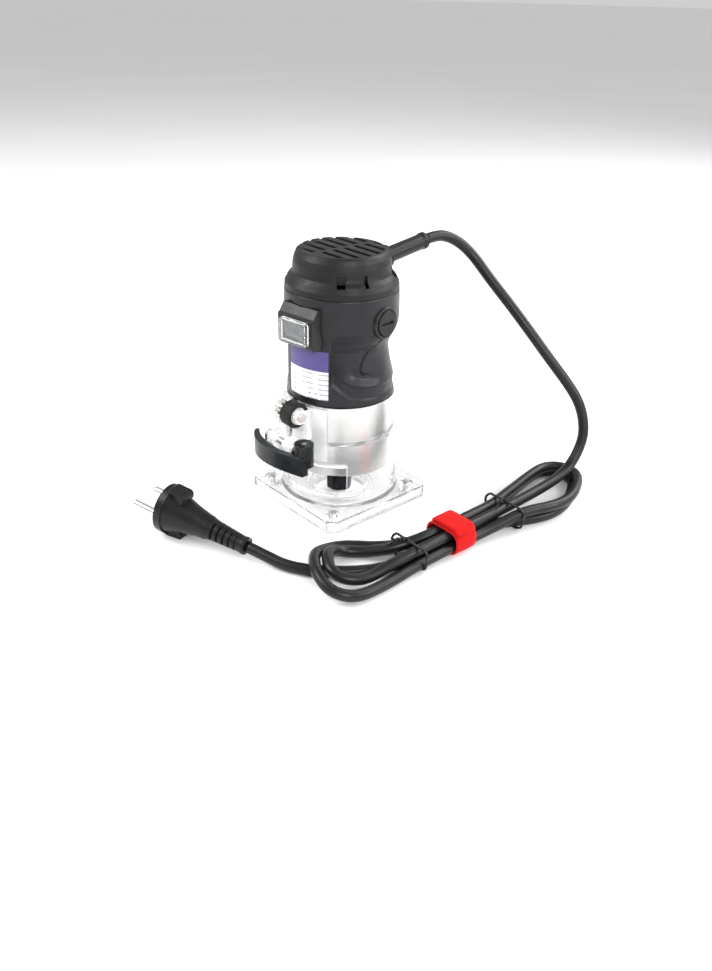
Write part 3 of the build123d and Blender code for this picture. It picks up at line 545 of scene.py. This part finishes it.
def housing_radius(azimuth, z):
    """Radius of the wall; both sides are alike about the turned front."""
    front = (azimuth - HOUSING_TURN + 180.0) % 360.0 - 180.0
    mirrored = abs(front) + HOUSING_TURN
    radius = side_radius(z)
    in_height = smooth_step(z, *PANEL_STARTS) * (1 - smooth_step(z, *PANEL_ENDS))
    panel = (1 - smooth_step(abs(front), PANEL_HALF - 0.6, PANEL_HALF + 0.9)) * in_height
    if radius < PANEL_R:
        radius += panel * (PANEL_R - radius)
    if mirrored > SIDES_FROM:
        grip = smooth_step(mirrored, 38.5, 42.0)
        below = sum(height_on(LEDGE, mirrored + step) for step in (-6, -3, 0, 3, 6)) / 5 - z
        radius -= 0.9 * smooth_step(below, -0.5, 0.5) * (1 - smooth_step(below, 6.0, 9.0)) * grip
        radius -= dent(distance_to(GROOVE, mirrored, z), 1.3, 0.6)
        dish = smooth_step(mirrored, 52, 68) * (1 - smooth_step(mirrored, 82, 104))
        radius -= dent(distance_to(SCALLOP, mirrored, z), 1.9 * dish, 3.4)
    radius -= dent(z - SEAM_Z, 0.25, 0.35) * smooth_step(mirrored, 40, 46)
    return radius


def ring_point(radius, azimuth, z):
    """Point at an azimuth about the spindle's axis."""
    a = math.radians(azimuth)
    return (radius * math.sin(a), -radius * math.cos(a), z)


def housing(material):
    """Outer wall of the housing as rings of points, with an inner lip at its bottom."""
    rows, columns = 210, 540
    low, high = SIDE_LINE[0][0], SIDE_LINE[-1][0]
    points = []
    for r in range(rows):
        z = low + (high - low) * r / (rows - 1)
        for c in range(columns):
            azimuth = 360.0 * c / columns
            points.append(ring_point(housing_radius(azimuth, z), azimuth, z))
    for z in (low, low + LIP_HEIGHT):
        for c in range(columns):
            points.append(ring_point(LIP_R, 360.0 * c / columns, z))
    faces = grid_faces(rows, columns)
    lip, deep = rows * columns, (rows + 1) * columns
    for c in range(columns):
        d = (c + 1) % columns
        faces.append((d, c, lip + c, lip + d))
        faces.append((lip + d, lip + c, deep + c, deep + d))
    return mesh_object("housing_shell", points, faces, material)


def brush_boss(material, side):
    """Round boss with a raised rim that the brush cap screws into."""
    # (radius about the boss's axis, reach from the spindle)
    profile = [(9.9, 31.0), (9.9, 35.2), (9.6, 36.0), (9.2, 36.3), (8.3, 36.3), (7.9, 36.0), (7.75, 35.4),
               (7.7, 33.0)]
    sides = 64
    turn = Matrix.Rotation(math.radians(HOUSING_TURN + (0 if side > 0 else 180)), 3, "Z")
    points = []
    for radius, reach in profile:
        for s in range(sides):
            a = 2 * math.pi * s / sides
            points.append(turn @ Vector((reach, radius * math.cos(a), BOSS_Z + radius * math.sin(a))))
    name = "brush_boss_right" if side > 0 else "brush_boss_left"
    return mesh_object(name, points, grid_faces(len(profile), sides), material)


# ---- cord, strap and ties ----------------------------------------------------------
def cord(material):
    """The whole mains cord as one tube, and the line of points that it follows."""
    line = nurbs_line("cord_route", CORD_LEAD + CORD_HANK + CORD_TAIL)
    return tube_mesh("mains_cord", line, CORD_D / 2, material), line


def rounded_band(centre_x, half_x, low, high, corner, steps=10):
    """Closed outline in X and Z of a band round the bundle."""
    outline = []
    corners = ((1, 1), (-1, 1), (-1, -1), (1, -1))
    for k, (sx, sz) in enumerate(corners):
        cx = centre_x + sx * (half_x - corner)
        cz = (high - corner) if sz > 0 else (low + corner)
        for s in range(steps):
            a = math.radians(90 * k + 90 * s / (steps - 1))
            outline.append((cx + corner * math.cos(a), cz + corner * math.sin(a)))
    return outline


def strap(material):
    """Band of the hook-and-loop strap, slightly wavy, with its edges turned in."""
    points = []
    thick = STRAP_THICK
    outer = rounded_band(STRAP_X, STRAP_HALF, STRAP_LOW, STRAP_TOP, STRAP_CORNER)
    inner = rounded_band(STRAP_X, STRAP_HALF - thick, STRAP_LOW + thick, STRAP_TOP - thick,
                         STRAP_CORNER - thick)
    rows = [STRAP_Y + step for step in (-8.5, -8.2, -6.0, -3.0, 0.0, 3.0, 6.0, 8.2, 8.5)]
    middle = Vector((STRAP_X, STRAP_MID_Z))
    for y in rows:
        crown = 0.25 * math.cos((y - STRAP_Y) * 0.29)
        edge = 0.35 if y in (rows[0], rows[-1]) else 0.0
        for x, z in outer:
            away = (Vector((x, z)) - middle).normalized()
            wave = 0.18 * math.sin(x * 0.9 + y * 0.35) + crown - edge
            points.append((x + away.x * wave, y, max(0.15, z + away.y * wave)))
    for y in reversed(rows):
        for x, z in inner:
            points.append((x, y, z))
    faces = grid_faces(2 * len(rows), len(outer), closed_rows=True)
    return mesh_object("strap_band", points, faces, material)


def strap_tab(material):
    """Free end of the strap, which lies over the band's top and bends down at the side."""
    # cross-section as (Y, height above the band)
    section = ((0.5, 0.0), (0.5, 1.3), (3, 1.5), (8.5, 1.55), (14, 1.5), (16.5, 1.3), (16.5, 0.0))
    start, length, bends_at = 87.0, 21.5, 104.0
    steps = 26
    points = []
    for k in range(steps):
        t = k / (steps - 1)
        x = start + length * t
        z = 16.9 + 0.3 * math.sin(t * math.pi)
        if x > bends_at:
            z -= (x - bends_at) ** 2 * 0.16
        lift = 0.27 * smooth_step(t, 0.0, 0.12) * (1 - smooth_step(t, 0.12, 0.5))
        points += [(x, y, z + above + lift) for y, above in section]
    count = len(section)
    faces = grid_faces(steps, count)
    last = (steps - 1) * count
    faces += [tuple(reversed(range(count))), tuple(last + i for i in range(count))]
    return mesh_object("strap_tab", points, faces, material)


def twist_tie(name, y, centre_x, half_x, high, tail_at, lean, material):
    """Coated wire round the bundle, its two ends twisted together and bent down along the cord."""
    outline = rounded_band(centre_x, half_x, TIE_LOW, high, TIE_CORNER, 7)
    loop = [Vector((x, y + 0.5 * math.sin(k * 0.9), z)) for k, (x, z) in enumerate(outline)]
    ring = tube_mesh(f"{name}_ring", loop + [loop[0]], TIE_R, material, 10)
    ends = []
    root = Vector((tail_at, y, high + TAIL_R))
    lean = Vector(lean).normalized()
    side = lean.orthogonal().normalized()
    across = lean.cross(side)
    for phase in (0.0, math.pi):
        wire = []
        for k in range(50):
            t = k / 49
            a = phase + min(t, TWIST_ENDS) * TWIST
            spread = 0.75 + 3.4 * smooth_step(t, TWIST_ENDS, 1.0)
            droop = Vector((0, 0, -2.5 * t * t))
            twist = (side * math.cos(a) + across * math.sin(a)) * spread
            wire.append(root + lean * (TAIL_LENGTH * t) + droop + twist)
        ends.append(tube_mesh(f"{name}_end_{len(ends)}", wire, TAIL_R, material, 8))
    return [ring] + ends


# ---- camera, floor and light -------------------------------------------------------------
def camera():
    """Camera of the reference view."""
    eye, target = Vector(CAMERA_AT) * MM, Vector(CAMERA_TARGET) * MM
    data = bpy.data.cameras.new("camera")
    data.lens = CAMERA_LENS
    data.sensor_width = SENSOR
    piece = bpy.data.objects.new("camera", data)
    bpy.context.collection.objects.link(piece)
    look = (target - eye).to_track_quat("-Z", "Y").to_matrix()
    roll = Matrix.Rotation(math.radians(CAMERA_ROLL), 3, "Z")
    piece.matrix_world = Matrix.Translation(eye) @ (look @ roll).to_4x4()
    bpy.context.scene.camera = piece


def floor():
    """White paper floor that reaches to the horizon."""
    shader = Shader("floor_paper")
    tone = shader.span(shader.noise(3.0), 0.0, 1.0)
    shader.join(shader.mix(tone, (0.86, 0.86, 0.86), (0.88, 0.88, 0.88)), shader.main.inputs["Base Color"])
    shader.join(shader.span(shader.noise(900.0), 0.6, 0.7), shader.main.inputs["Roughness"])
    half = FLOOR_HALF
    piece = mesh_object("floor", [(-half, -half, 0), (half, -half, 0), (half, half, 0), (-half, half, 0)],
                        [(0, 1, 2, 3)], shader.material, smooth=False)


def area_light(name, at, target, size, power):
    """Square lamp at a place in metres, turned to its target; size in metres, power in watts."""
    data = bpy.data.lights.new(name, "AREA")
    data.shape = "RECTANGLE"
    data.size, data.size_y = size, size
    data.energy = power
    piece = bpy.data.objects.new(name, data)
    bpy.context.collection.objects.link(piece)
    piece.location = at
    piece.rotation_euler = (Vector(target) - Vector(at)).to_track_quat("-Z", "Y").to_euler()


def light():
    """White room with four soft lamps."""
    world = bpy.data.worlds.new("studio")
    bpy.context.scene.world = world
    world.use_nodes = True
    background = world.node_tree.nodes["Background"]
    background.inputs["Color"].default_value = (1, 1, 1, 1)
    background.inputs["Strength"].default_value = 0.62
    area_light("key", (-0.7, -0.9, 1.1), (0, 0, 0.06), 0.9, 22)
    area_light("fill", (1.3, -0.5, 0.9), (0, 0, 0.08), 0.6, 14)
    area_light("back", (0.3, 1.2, 1.0), (0, 0, 0.1), 1.0, 20)
    area_light("rim", (0.9, 0.5, 0.5), (0, 0, 0.1), 0.4, 5)


def main():
    """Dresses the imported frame, adds the pieces made here and sets up the view."""
    materials = make_materials()
    dress_frame(materials)
    camera()
    lead, line = cord(materials["cord"])
    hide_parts("cord_lead", "cord_hank", "cord_tail")
    band = strap(materials["strap"])
    tab = strap_tab(materials["strap"])
    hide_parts("cable_strap")
    ties = twist_tie("tie_left", y=-25.0, centre_x=94.0, half_x=14.6, high=15.4, tail_at=92.0,
                     lean=(-0.55, -0.75, 0.1), material=materials["tie"])
    ties += twist_tie("tie_right", y=55.0, centre_x=99.0, half_x=15.6, high=15.8, tail_at=97.0,
                      lean=(0.35, -0.8, 0.2), material=materials["tie"])
    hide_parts("twist_ties")
    for piece in [band, tab] + ties:
        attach(piece, "base")
    shell = housing(materials["housing"])
    bosses = [brush_boss(materials["housing"], side) for side in (1, -1)]
    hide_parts("motor_housing")
    for piece in [shell] + bosses:
        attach(piece, "motor")
    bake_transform(lead)
    floor()
    light()
    bpy.context.scene.view_settings.view_transform = "Standard"


main()
